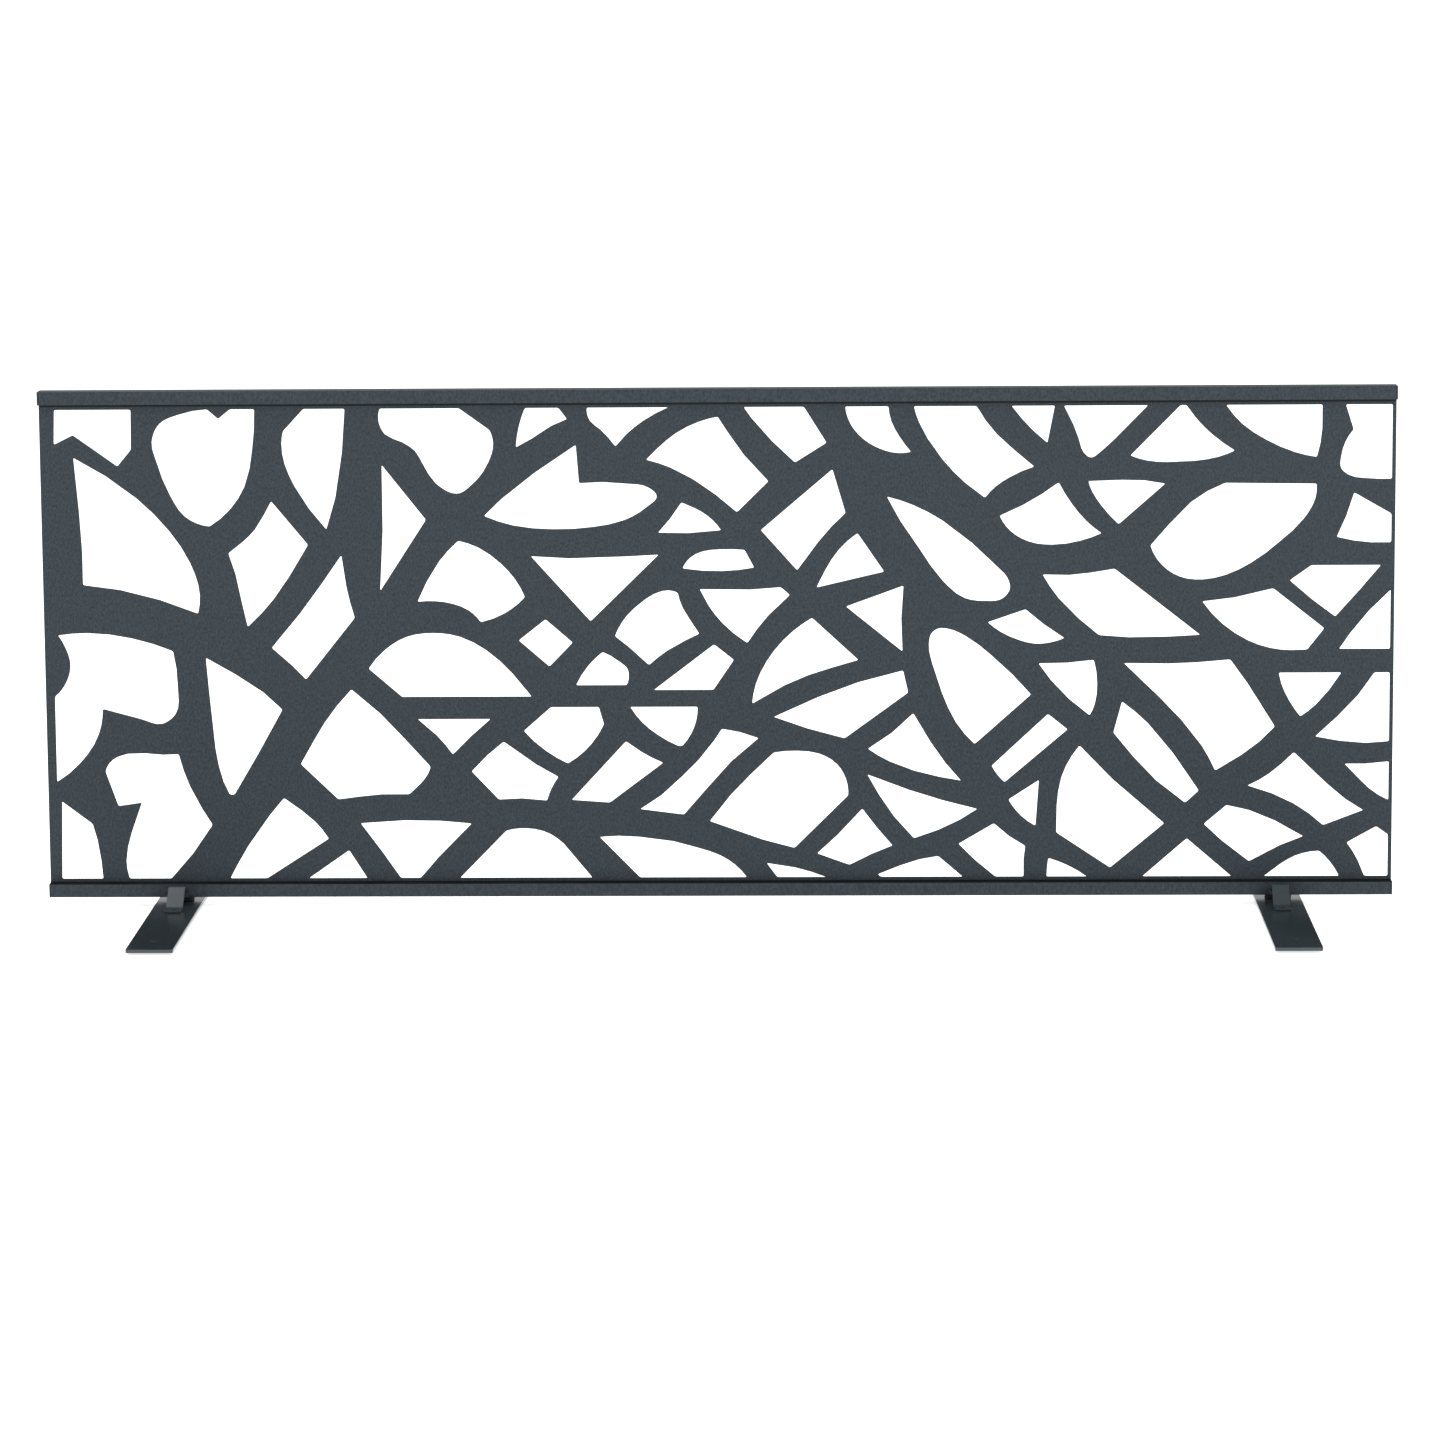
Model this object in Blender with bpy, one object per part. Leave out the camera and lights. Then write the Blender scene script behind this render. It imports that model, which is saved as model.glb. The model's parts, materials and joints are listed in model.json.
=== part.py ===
"""A long, low fireplace screen: one cut steel sheet held by two rails, on two slide-on feet.

X runs along the screen, Y from front to back and Z up. The floor is Z = 0, and the origin is
the middle of the outer box on the floor. All lengths are in metres unless a name says otherwise.
"""

import math

import bmesh
import bpy
from mathutils import Vector
from mathutils.geometry import interpolate_bezier

MM = 0.001

# Overall sizes of the panel, with its rails.
PANEL_WIDTH = 1.200
PANEL_HEIGHT = 0.455

# The cut sheet.
SHEET_THICKNESS = 0.002
SHEET_SIDE_INSET = 0.0003       # the sheet's side edges sit this far inside the rails' ends
SHEET_IN_RAIL = 0.009           # how far the sheet's top and bottom tongues run into the rails
WINDOW_CORNER = 0.0013          # how far back from a corner its rounding starts

# The two folded rails and the caps on their ends.
RAIL_HEIGHT = 0.012
RAIL_DEPTH = 0.018
RAIL_WALL = 0.0015
CAP_THICKNESS = 0.0012
CAP_PRONG_LENGTH = 0.008

# Headless clamp screws through the back of each rail.
SCREWS_PER_RAIL = 5
SCREW_RADIUS = 0.002
SCREW_SINK = 0.0002             # how far a screw's end stays below the rail's back face
SCREW_SOCKET_ACROSS = 0.002     # across the flats of the hexagon socket
SCREW_SOCKET_DEPTH = 0.002

# The two feet.
FOOT_WIDTH = 0.041
FOOT_LENGTH = 0.290
FOOT_REAR = 0.078               # from the middle of the panel to the plate's rear end
FOOT_THICKNESS = 0.003
FOOT_CORNER = 0.002
FOOT_EDGE = 0.0004
LEFT_FOOT_FROM_END = 0.117
RIGHT_FOOT_FROM_END = 0.101

# What stands between a foot's plate and the bottom rail.
SEAT_HEIGHT = 0.004
SEAT_WIDTH = 0.022

# The two spring clips of a foot.
CLIP_WIDTH = 0.015
CLIP_THICKNESS = 0.0015
CLIP_FLANGE = 0.014             # the part that lies flat on the plate
CLIP_LEAN = 0.037               # how far out from the rail the outer leaf starts to rise
CLIP_PEAK = 0.015               # how far out from the rail the two leaves meet
FRONT_CLIP_RISE = 0.017         # from the plate up to where they meet
REAR_CLIP_RISE = 0.0125         # lower, so that it stays out of sight from the front
CLIP_PRESS = 0.0055             # the part of the inner leaf that lies along the rail
CLIP_BEND = 0.0025              # how far back from each fold its rounding starts

# The rubber floor pads and the rivets of a foot.
PAD_HEIGHT = 0.002
PAD_RADIUS = 0.012
FRONT_PAD_FROM_END = 0.033
REAR_PAD_FROM_END = 0.0135
RIVET_RADIUS = 0.002
RIVET_HEAD_RADIUS = 0.0035
RIVET_HEAD_HEIGHT = 0.0012

# Neighbouring pieces never quite touch.
CLEARANCE = 0.0003

# Heights that follow from the sizes above.
PLATE_BOTTOM = PAD_HEIGHT
PLATE_TOP = PLATE_BOTTOM + FOOT_THICKNESS
PANEL_BOTTOM = PLATE_TOP + SEAT_HEIGHT
PANEL_TOP = PANEL_BOTTOM + PANEL_HEIGHT
PANEL_Y = FOOT_LENGTH / 2 - FOOT_REAR

# The windows are drawn in millimetres on a sheet 1200 wide and 455 high, from its bottom left
# corner. A pair is a corner. A point marked BEND is one that a smooth curve runs through.
# Laid out on the real sheet, the drawing grows a little and moves down and to the left, so that
# the windows end where the rails begin.
DRAWING_WIDTH = 1200
DRAWING_HEIGHT = 455
DRAWING_GROWTH = 1.0018
DRAWING_SHIFT = (-1.28, -1.69)
BEND = True
TOP = 439
BOTTOM = 17
RIGHT = 1195.6

LEFT_END = [
    [(15, TOP), (83, TOP), (82.5, 403.5), (70, 388.5), (31, 416.5), (14, 408)],
    [(150.5, TOP), (160.5, 430.5), (171, TOP), (192.5, TOP), (190, 403, BEND), (182.5, 370, BEND),
     (169, 349.5, BEND), (150.5, 334.5), (129, 343.5, BEND), (116, 363, BEND), (105, 392, BEND),
     (101, 410, BEND), (108, 426, BEND), (126, 434.5, BEND)],
    [(31, 396.5), (59.5, 380, BEND), (86.5, 360, BEND), (115.5, 330, BEND), (133, 302, BEND),
     (141, 273, BEND), (139, 256.5), (105, 269, BEND), (70, 278, BEND), (37, 282.5),
     (37, 312, BEND), (35, 348, BEND)],
    [(167, 310.5), (180.5, 321, BEND), (191, 331.5, BEND), (199.5, 345, BEND), (206, 357),
     (238, 318), (221, 290, BEND), (207, 270, BEND), (183, 244.5), (178.5, 265, BEND),
     (173, 292, BEND)],
    [(236, TOP), (272.5, TOP), (269.5, 400, BEND), (263, 360, BEND), (254.5, 331.5),
     (239.5, 350, BEND), (227, 370, BEND), (218.5, 390, BEND), (216, 408, BEND), (217.5, 419)],
    [(13.5, 237.5), (40, 239.5, BEND), (80, 234.5, BEND), (116, 223), (119.5, 191, BEND),
     (117, 166.5, BEND), (105, 157.5, BEND), (85, 162, BEND), (52, 171), (48, 148.5, BEND),
     (30, 121.5, BEND), (9.5, 105), (9.5, 182), (20, 195, BEND), (24, 210, BEND),
     (20.5, 225, BEND)],
    [(13.5, 87.5), (40.5, 67), (44.5, 52.5, BEND), (47.5, 34, BEND), (49, BOTTOM), (12, BOTTOM)],
    [(145, 217), (172, 201.5, BEND), (196, 185.5, BEND), (212.5, 170), (190, 130, BEND),
     (168, 93), (164, 93), (158.5, 105, BEND), (152, 135, BEND), (147.5, 185, BEND)],
    [(53, 114.5), (60, 125, BEND), (74, 130.5, BEND), (105, 129.5, BEND), (119, 130),
     (128.5, 101, BEND), (139, 80.5, BEND), (148, 66), (130, 40, BEND), (110, BOTTOM),
     (72.5, BOTTOM), (70, 33, BEND), (75.5, 59.5, BEND), (85, 86), (64, 83)],
    [(163, BOTTOM), (196, BOTTOM), (252, 53), (240, 68.5, BEND), (229, 78, BEND), (212.5, 90),
     (200, 75, BEND), (180, 47, BEND), (170, 30, BEND)],
    [(267.5, 308.5), (271.5, 280, BEND), (274.5, 266.5, BEND), (278.5, 252.5), (234, 197),
     (222, 209.5, BEND), (204, 225.5), (230, 256.5, BEND), (250, 283.5, BEND)],
    [(270, 42.5), (286, BOTTOM), (233.5, BOTTOM)],
]

LEFT_MIDDLE = [
    [(304.5, 389), (343, 340), (301.5, 276.5), (304.5, 330, BEND), (304.5, 365, BEND)],
    [(303.5, TOP), (373.5, TOP), (400.5, 419.5), (403.5, 408, BEND), (398.5, 390, BEND),
     (383, 370, BEND), (373.5, 363.5, BEND), (352, 372.5, BEND), (341, 389.5, BEND),
     (334, 401.5, BEND), (323, 409, BEND), (308, 416, BEND), (302.5, 427, BEND)],
    [(371.5, 321), (389, 315, BEND), (409, 300.5, BEND), (421, 287, BEND), (430, 270.5),
     (411, 255.5, BEND), (390.5, 248), (380, 258.5, BEND), (366, 264.5, BEND), (350, 267, BEND),
     (334.5, 266.5), (343, 284.5, BEND), (354.5, 303, BEND)],
    [(432, TOP), (461.5, TOP), (469, 429), (455, 423, BEND), (438, 412, BEND), (423.5, 404),
     (426.5, 423, BEND)],
    [(486.5, TOP), (558.5, TOP), (536, 427, BEND), (521, 415, BEND), (511.5, 404.5),
     (498.5, 419.5, BEND), (489.5, 427, BEND)],
    [(394.5, 343), (410, 358, BEND), (440, 381.5, BEND), (476.5, 406), (479, 372),
     (520, 371.5, BEND), (541, 367.5, BEND), (547.5, 361, BEND), (538, 350, BEND),
     (519, 339, BEND), (492, 333, BEND), (455, 331, BEND), (420, 334.5, BEND)],
    [(435.5, 307), (470, 305, BEND), (520, 306.5, BEND), (549, 308), (488, 248.5)],
    [(274.5, 188), (300, 166, BEND), (322, 142.5, BEND), (344, 118), (340.5, 110, BEND),
     (334, 102, BEND), (324.5, 93), (300, 93), (280, 91, BEND), (261, 88.5), (246, 103, BEND),
     (228, 120.5), (240, 141.5, BEND), (250, 158, BEND)],
    [(290, 206.5), (305, 223.5, BEND), (324, 235, BEND), (347, 238.5, BEND), (372, 235, BEND),
     (395, 223, BEND), (418, 202, BEND), (435, 181), (319.5, 181)],
    [(333, 161), (398, 161), (380, 145, BEND), (364, 129), (349.5, 146.5, BEND)],
    [(280.5, 67), (320, 69.5, BEND), (352, 69, BEND), (380, 66.5), (350, 36, BEND),
     (333.5, BOTTOM), (316, BOTTOM), (299.5, 41, BEND)],
    [(369, BOTTOM), (411, 60), (430, 62, BEND), (450, 57, BEND), (462, 48, BEND),
     (478, 28.5, BEND), (487.5, BOTTOM)],
    [(380.5, 113.5), (395, 128.5, BEND), (409.5, 140.5), (438, 120, BEND), (458, 108.5),
     (451.5, 98, BEND), (447.5, 87), (425, 89, BEND), (404.5, 88)],
    [(448, 250.5), (472, 229.5), (451, 208), (424, 231.5)],
    [(498.5, 221), (513, 212.5, BEND), (520.5, 205.5, BEND), (521.5, 199, BEND), (519.5, 191),
     (474.5, 191), (485.5, 208.5, BEND)],
    [(452, 171.5), (494.5, 171.5), (499, 156), (487.5, 138, BEND), (466.5, 120.5),
     (447, 132, BEND), (427.5, 150)],
    [(518.5, 140.5), (532, 131, BEND), (551.5, 121), (503.5, 85), (469.5, 87.5)],
]

MIDDLE = [
    [(538.5, 392.5), (548, 402, BEND), (565, 416, BEND), (585, 426, BEND), (602, 430.5),
     (610, 418, BEND), (625, 396.5, BEND), (646.5, 373), (618.5, 345.5), (600, 361, BEND),
     (580, 375, BEND), (560, 385.5, BEND)],
    [(569.5, 354.5), (582, 349, BEND), (592.5, 342.5, BEND), (604.5, 329.5), (575, 327, BEND),
     (548.5, 327.5), (559, 339.5, BEND)],
    [(557, 276, BEND), (565.5, 274), (570, 260, BEND), (576, 250, BEND), (584.5, 237),
     (572, 231, BEND), (556, 222, BEND), (539.5, 209), (521, 226, BEND), (509.5, 235),
     (520, 253, BEND), (531, 263.5, BEND), (544, 272.5, BEND)],
    [(522.5, 171.5), (582.5, 171.5), (579, 152.5, BEND), (568.5, 136), (565, 136),
     (547, 146, BEND), (533, 157.5, BEND)],
    [(625, TOP), (678, TOP), (698, 407), (670, 389.5), (650, 408.5, BEND), (632, 429, BEND)],
    [(714.5, TOP), (752.5, TOP), (755, 426, BEND), (762, 412.5, BEND), (772.5, 398.5),
     (761, 397.5, BEND), (745, 401.5, BEND), (730, 410.5, BEND), (719.5, 423, BEND)],
    [(703, 383.5), (714.5, 344.5), (702, 332.5, BEND), (690, 318.5, BEND), (671.5, 293.5),
     (639.5, 329.5)],
    [(725, 326.5), (748.5, 292), (688.5, 278), (696, 293, BEND), (709, 312.5, BEND)],
    [(765.5, 279.5), (763.5, 250, BEND), (764.5, 220.5), (714.5, 261)],
    [(684.5, 251), (725.5, 213), (703, 206.5, BEND), (681, 199.5, BEND), (660, 190.5, BEND),
     (631, 174), (634.5, 192, BEND), (644, 212, BEND), (668, 239.5, BEND)],
    [(570, 295.5), (578, 306, BEND), (589, 311, BEND), (603, 312.5, BEND), (625, 312),
     (633.5, 296), (605, 293, BEND)],
    [(585, 277), (630, 276.5, BEND), (657, 278.5), (665, 271.5), (646, 253.5, BEND),
     (627, 228.5), (605, 246.5, BEND), (593, 262, BEND)],
    [(543.5, 186.5), (597.5, 227.5), (615, 213.5), (596.5, 186.5)],
    [(592.5, 68), (612, 92.5, BEND), (630, 111, BEND), (650, 130), (671, 131.5, BEND),
     (690, 129, BEND), (706, 119.5, BEND), (714, 106, BEND), (716, 91), (668, 43.5),
     (640, 51, BEND)],
    [(530.5, 79), (569.5, 74), (590, 97.5, BEND), (612, 122, BEND), (636.5, 143),
     (620, 148.5, BEND), (604, 151.5), (597, 141, BEND), (583, 123.5, BEND),
     (568, 108.5, BEND), (550, 92, BEND)],
    [(650, 162), (690, 180, BEND), (725, 193, BEND), (765, 203.5), (769.5, 183.5),
     (713, 142.5), (680, 151.5, BEND)],
    [(728.5, 79), (741, 62.5, BEND), (755.5, 45.5), (737, 38, BEND), (717, 28), (688, 38.5),
     (706, 55, BEND)],
    [(643, 30), (668, 26, BEND), (696.5, BOTTOM), (652.5, BOTTOM)],
    [(494, 54), (511, 55, BEND), (530, 54, BEND), (560, 50, BEND), (582, 44, BEND),
     (602, 37, BEND), (615, 28.5, BEND), (625.5, BOTTOM), (530, BOTTOM)],
]

RIGHT_MIDDLE = [
    [(775, TOP), (830, TOP), (848, 414, BEND), (862, 401, BEND), (881, 385), (859, 375.5, BEND),
     (847, 367.5, BEND), (837.5, 357.5), (820, 371, BEND), (800, 392, BEND), (787, 410.5, BEND),
     (779.5, 425, BEND)],
    [(774, 165), (789, 139.5, BEND), (803, 119.5, BEND), (816.5, 104), (797, 107.5, BEND),
     (775, 113, BEND), (753, 121.5, BEND), (733.5, 133), (755, 147.5, BEND)],
    [(733, 110), (770, 96, BEND), (800, 86.5, BEND), (831, 78.5), (815, 68.5, BEND),
     (796, 59.5, BEND), (774.5, 52), (757, 71.5, BEND), (743.5, 91.5, BEND)],
    [(742, 19.5), (762, 27.5, BEND), (779, 33, BEND), (796, 36), (818, BOTTOM), (745, BOTTOM)],
    [(751, 359), (775, 351, BEND), (800, 337.5, BEND), (826, 317.5, BEND), (848, 296.5, BEND),
     (857.5, 286, BEND), (859.5, 276, BEND), (853.5, 268, BEND), (837, 265.5, BEND),
     (820, 268, BEND), (800, 284, BEND), (780, 312, BEND), (763, 337, BEND)],
    [(796, 241, BEND), (804, 241, BEND), (820, 234.5, BEND), (842, 218, BEND),
     (862, 199.5, BEND), (878.5, 181.5), (828.5, 137), (812, 156.5, BEND),
     (799.5, 183.5, BEND), (791, 209.5, BEND), (788, 227, BEND), (790.5, 237, BEND)],
    [(861, TOP), (899, TOP), (892.5, 406), (880, 417, BEND)],
    [(907, TOP), (981, TOP), (950, 407.5, BEND), (940, 398.5, BEND), (930, 393, BEND),
     (924.5, 397.5, BEND), (920, 410, BEND), (915.5, 422, BEND)],
    [(965.5, 394.5), (1009.5, TOP), (1014.5, TOP), (1023, 427.5, BEND), (1038, 412.5, BEND),
     (1057.5, 398.5), (1043, 393, BEND), (1022, 389.5, BEND), (998, 388.5, BEND),
     (980, 390, BEND)],
    [(928.5, 372), (958, 373, BEND), (978, 372.5, BEND), (996.5, 369.5), (955.5, 333.5),
     (940, 350.5, BEND), (932.5, 362, BEND)],
    [(902.5, 371), (914, 352, BEND), (927, 336.5, BEND), (940.5, 325.5), (922, 319, BEND),
     (897, 315.5, BEND), (876, 318.5, BEND), (860, 328, BEND), (850.5, 341.5),
     (871, 351, BEND)],
    [(873.5, 258), (889, 245, BEND), (908, 232), (895, 228, BEND), (882, 227, BEND),
     (866, 231, BEND), (852, 237.5, BEND), (840, 246.5)],
    [(888.5, 289), (912, 288.5, BEND), (931, 290.5, BEND), (952, 294), (1028, 234.5),
     (1000, 233, BEND), (965, 232.5, BEND), (938.5, 234.5), (920, 250, BEND),
     (903, 267.5, BEND)],
    [(885, 209.5), (910, 210, BEND), (934, 212.5), (937, 191, BEND), (935, 173, BEND),
     (930.5, 162.5), (912, 177.5, BEND), (896, 194.5, BEND)],
    [(893.5, 164), (911, 150), (855, 102.5), (849, 109, BEND), (843.5, 117.5)],
    [(885.5, 104.5), (882.5, 63), (870.5, 71.5, BEND), (858.5, 87)],
    [(845.5, 65.5), (859, 54, BEND), (873.5, 45), (872, 33, BEND), (872, BOTTOM),
     (847, BOTTOM), (829, 32, BEND), (814, 47)],
    [(894, 34), (911, 27.5, BEND), (928.5, BOTTOM), (892.5, BOTTOM), (893, 26, BEND)],
    [(921.5, 135.5), (951, 105, BEND), (997, 65), (949, 25), (901, 57), (901.5, 82, BEND),
     (905.5, 107, BEND)],
    [(959, 175), (982, 155.5, BEND), (1004, 129, BEND), (1027.5, 94.5), (1015.5, 83.5),
     (990, 103.5, BEND), (970, 124.5, BEND), (951.5, 147)],
    [(960.5, 209.5), (1000, 209, BEND), (1025, 210, BEND), (1054.5, 212.5), (1070, 191, BEND),
     (1094.5, 152), (1081, 138.5, BEND), (1065, 126.5, BEND), (1042, 112.5),
     (1030, 135, BEND), (1012, 158, BEND), (993, 178, BEND)],
    [(1017, 51.5), (1057, BOTTOM), (977.5, BOTTOM)],
]

RIGHT_END = [
    [(1049.5, TOP), (1134, TOP), (1134, 418, BEND), (1132.5, 405, BEND), (1129.5, 392.5),
     (1110, 397, BEND), (1085, 408, BEND), (1064, 422, BEND)],
    [(1154.5, TOP), (RIGHT, TOP), (RIGHT, 373), (1175, 373.5, BEND), (1158, 376.5, BEND),
     (1151, 382.5, BEND), (1151, 394.5, BEND), (1161.5, 417)],
    [(1162.5, 361), (RIGHT, 342), (RIGHT, 316.5), (1178, 316.5, BEND), (1147.5, 321.5),
     (1156, 341, BEND)],
    [(1049, 370), (1129.5, 369), (1128.5, 356, BEND), (1119, 338.5, BEND), (1098, 318, BEND),
     (1072, 298.5, BEND), (1050, 288, BEND), (1030, 284, BEND), (1010, 286.5, BEND),
     (994, 297, BEND), (983.5, 314.5), (1000, 333.5, BEND), (1019, 353, BEND)],
    [(1092, 276), (1137.5, 240), (1122.5, 221), (1108, 220.5, BEND), (1090, 222.5, BEND),
     (1070, 229.5, BEND), (1048, 244, BEND), (1029.5, 264.5), (1058, 268, BEND)],
    [(1125.5, 296.5), (1187, 296.5), (1168, 274, BEND), (1147, 250.5), (1127, 265.5, BEND),
     (1106.5, 283)],
    [(RIGHT, 274.5), (RIGHT, 221.5), (1150.5, 221.5), (1160, 235.5, BEND)],
    [(1097.5, 200.5), (1153, 200.5), (1142, 184.5, BEND), (1131, 172, BEND), (1117, 161),
     (1107, 175.5, BEND), (1100, 190.5, BEND)],
    [(1182, 200.5), (RIGHT, 200.5), (RIGHT, 138.5), (1175, 137, BEND), (1152, 139, BEND),
     (1130, 143), (1150, 161.5, BEND), (1168, 180.5, BEND)],
    [(1156.5, 118.5), (1175, 118.5, BEND), (RIGHT, 120.5), (RIGHT, 85.5), (1178, 96.5, BEND),
     (1167, 107.5, BEND)],
    [(1111.5, 129), (1140, 101.5, BEND), (1157, 87, BEND), (1173.5, 76.5), (1138, 63),
     (1112, 82.5, BEND), (1092, 92, BEND), (1070.5, 99), (1090, 110, BEND),
     (1101, 119, BEND)],
    [(1052, 81.5), (1072, 77, BEND), (1095, 67.5, BEND), (1120.5, 53), (1100, 45, BEND),
     (1072.5, 30.5), (1048, 49.5, BEND), (1032, 64.5)],
    [(1134.5, 40), (1144, 30.5, BEND), (1152.5, BOTTOM), (1085.5, BOTTOM), (1100, 28, BEND),
     (1113, 35.5, BEND)],
    [(1185, 62), (RIGHT, 54.5), (RIGHT, BOTTOM), (1175, BOTTOM), (1169, 31.5, BEND),
     (1159, 47.5)],
]

WINDOWS = LEFT_END + LEFT_MIDDLE + MIDDLE + RIGHT_MIDDLE + RIGHT_END

# A curve is stepped once for about every this much of turn.
TURN_PER_STEP = math.radians(9)

ROUND_SIDES = 24
SCREW_SIDES = 16


# ---------------------------------------------------------------- shared helpers

def clear_scene():
    for old in list(bpy.data.objects):
        bpy.data.objects.remove(old, do_unlink=True)


def make_material(name, colour, roughness, metallic):
    material = bpy.data.materials.new(name)
    material.use_nodes = True
    shader = material.node_tree.nodes["Principled BSDF"]
    shader.inputs["Base Color"].default_value = (*colour, 1)
    shader.inputs["Roughness"].default_value = roughness
    shader.inputs["Metallic"].default_value = metallic
    return material


def add_object(name, bm, material, location=(0, 0, 0), parent=None):
    """Turn a bmesh into a named object, and free the bmesh."""
    bmesh.ops.recalc_face_normals(bm, faces=bm.faces)
    mesh = bpy.data.meshes.new(name)
    bm.to_mesh(mesh)
    bm.free()
    if material:
        mesh.materials.append(material)
    item = bpy.data.objects.new(name, mesh)
    item.location = location
    item.parent = parent
    bpy.context.scene.collection.objects.link(item)
    return item


def shade_round(item):
    item.data.shade_smooth()
    item.data.set_sharp_from_angle(angle=math.radians(35))


def add_bevel(item, width, segments):
    bevel = item.modifiers.new("edges", "BEVEL")
    bevel.width = width
    bevel.segments = segments
    bevel.limit_method = "ANGLE"
    bevel.angle_limit = math.radians(40)


def add_cut(item, cutter):
    """Cut a hidden solid out of an object."""
    cut = item.modifiers.new("cut", "BOOLEAN")
    cut.operation = "DIFFERENCE"
    cut.solver = "EXACT"
    cut.object = cutter
    cutter.hide_render = True
    cutter.display_type = "WIRE"


def add_cylinder(bm, radius, length, axis, sides, centre):
    """Add a cylinder along Y or Z to a bmesh."""
    added = bmesh.ops.create_cone(bm, cap_ends=True, segments=sides,
                                  radius1=radius, radius2=radius, depth=length)
    if axis == "Y":
        turn = Vector((0, 0, 1)).rotation_difference(Vector((0, 1, 0))).to_matrix()
        bmesh.ops.rotate(bm, verts=added["verts"], cent=(0, 0, 0), matrix=turn)
    bmesh.ops.translate(bm, verts=added["verts"], vec=centre)


def cylinder_mesh(radius, length, axis, sides):
    bm = bmesh.new()
    add_cylinder(bm, radius, length, axis, sides, (0, 0, 0))
    return bm


def drill_mesh(radius, length, axis, centres):
    """Cylinders that cut one round hole each."""
    bm = bmesh.new()
    for centre in centres:
        add_cylinder(bm, radius, length, axis, SCREW_SIDES, centre)
    return bm


def box_mesh(low, high):
    bm = bmesh.new()
    bmesh.ops.create_cube(bm, size=1)
    low = Vector(low)
    high = Vector(high)
    bmesh.ops.scale(bm, verts=bm.verts, vec=high - low)
    bmesh.ops.translate(bm, verts=bm.verts, vec=(low + high) / 2)
    return bm


def turned_mesh(profile):
    """A solid of revolution about Z from (radius, height) points that start and end on the axis."""
    bm = bmesh.new()
    verts = [bm.verts.new((radius, 0, height)) for radius, height in profile]
    edges = [bm.edges.new(pair) for pair in zip(verts, verts[1:])]
    bmesh.ops.spin(bm, geom=verts + edges, cent=(0, 0, 0), axis=(0, 0, 1),
                   angle=math.tau, steps=ROUND_SIDES, use_merge=True)
    bmesh.ops.remove_doubles(bm, verts=bm.verts, dist=MM / 1000)
    return bm


def plate_mesh(outline, holes, thickness):
    """A flat plate in the XY plane with holes through it, its middle plane at Z = 0."""
    bm = bmesh.new()
    for loop in [outline] + holes:
        verts = [bm.verts.new((point[0], point[1], -thickness / 2)) for point in loop]
        for before, after in zip(verts, verts[1:] + verts[:1]):
            bm.edges.new((before, after))
    bmesh.ops.triangle_fill(bm, use_beauty=True, use_dissolve=False, edges=bm.edges)
    extruded = bmesh.ops.extrude_face_region(bm, geom=bm.faces[:])
    top = [piece for piece in extruded["geom"] if isinstance(piece, bmesh.types.BMVert)]
    bmesh.ops.translate(bm, verts=top, vec=(0, 0, thickness))
    return bm


def bar_mesh(section, length):
    """A bar along X whose (y, z) section is a closed outline."""
    bm = bmesh.new()
    verts = [bm.verts.new((-length / 2, y, z)) for y, z in section]
    face = bm.faces.new(verts)
    extruded = bmesh.ops.extrude_face_region(bm, geom=[face])
    far_end = [piece for piece in extruded["geom"] if isinstance(piece, bmesh.types.BMVert)]
    bmesh.ops.translate(bm, verts=far_end, vec=(length, 0, 0))
    return bm


# ---------------------------------------------------------------- outlines with curves

def round_corner(before, corner, after, cut, steps):
    """Replace one corner with a short arc that starts and ends a cut's length from it."""
    to_before = before - corner
    to_after = after - corner
    start = corner + to_before.normalized() * min(cut, to_before.length * 0.45)
    end = corner + to_after.normalized() * min(cut, to_after.length * 0.45)
    pull = 0.6
    return interpolate_bezier(start, start.lerp(corner, pull), end.lerp(corner, pull), end,
                              steps + 1)


def tangent_at(before, point, after):
    """The direction of a smooth curve through a point, which leans to its nearer neighbour."""
    back = point - before
    ahead = after - point
    return (back.normalized() * ahead.length + ahead.normalized() * back.length).normalized()


def span_points(before, start, end, after, start_bends, end_bends):
    """The points from start up to end, on the curve that they and their neighbours ask for."""
    if not (start_bends or end_bends):
        return [start]
    third = (end - start).length / 3
    start_handle = start + tangent_at(before, start, end) * third if start_bends else None
    end_handle = end - tangent_at(start, end, after) * third if end_bends else None
    if start_handle is None:
        meeting = end + (end_handle - end) * 1.5
        start_handle = start.lerp(meeting, 2 / 3)
    if end_handle is None:
        meeting = start + (start_handle - start) * 1.5
        end_handle = end.lerp(meeting, 2 / 3)
    turn = (start_handle - start).angle(end - end_handle)
    steps = max(1, math.ceil(turn / TURN_PER_STEP))
    return interpolate_bezier(start, start_handle, end_handle, end, steps + 1)[:-1]


def window_outline(window):
    """One window of the drawing as a closed outline in metres, about the panel's middle."""
    shift = Vector(DRAWING_SHIFT)
    places = []
    for point in window:
        drawn = Vector(point[:2]) * DRAWING_GROWTH + shift
        places.append(Vector(((drawn.x / DRAWING_WIDTH - 0.5) * PANEL_WIDTH,
                              drawn.y / DRAWING_HEIGHT * PANEL_HEIGHT)))
    bends = [len(point) == 3 for point in window]
    count = len(places)
    path = []
    for index in range(count):
        following = (index + 1) % count
        span = span_points(places[index - 1], places[index], places[following],
                           places[(index + 2) % count], bends[index], bends[following])
        path += [(point, bends[index] or step > 0) for step, point in enumerate(span)]
    outline = []
    for index, (point, smooth) in enumerate(path):
        if smooth:
            outline.append(point)
        else:
            after = path[(index + 1) % len(path)][0]
            outline += round_corner(path[index - 1][0], point, after, WINDOW_CORNER, 2)
    return outline


# ---------------------------------------------------------------- the panel

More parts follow.
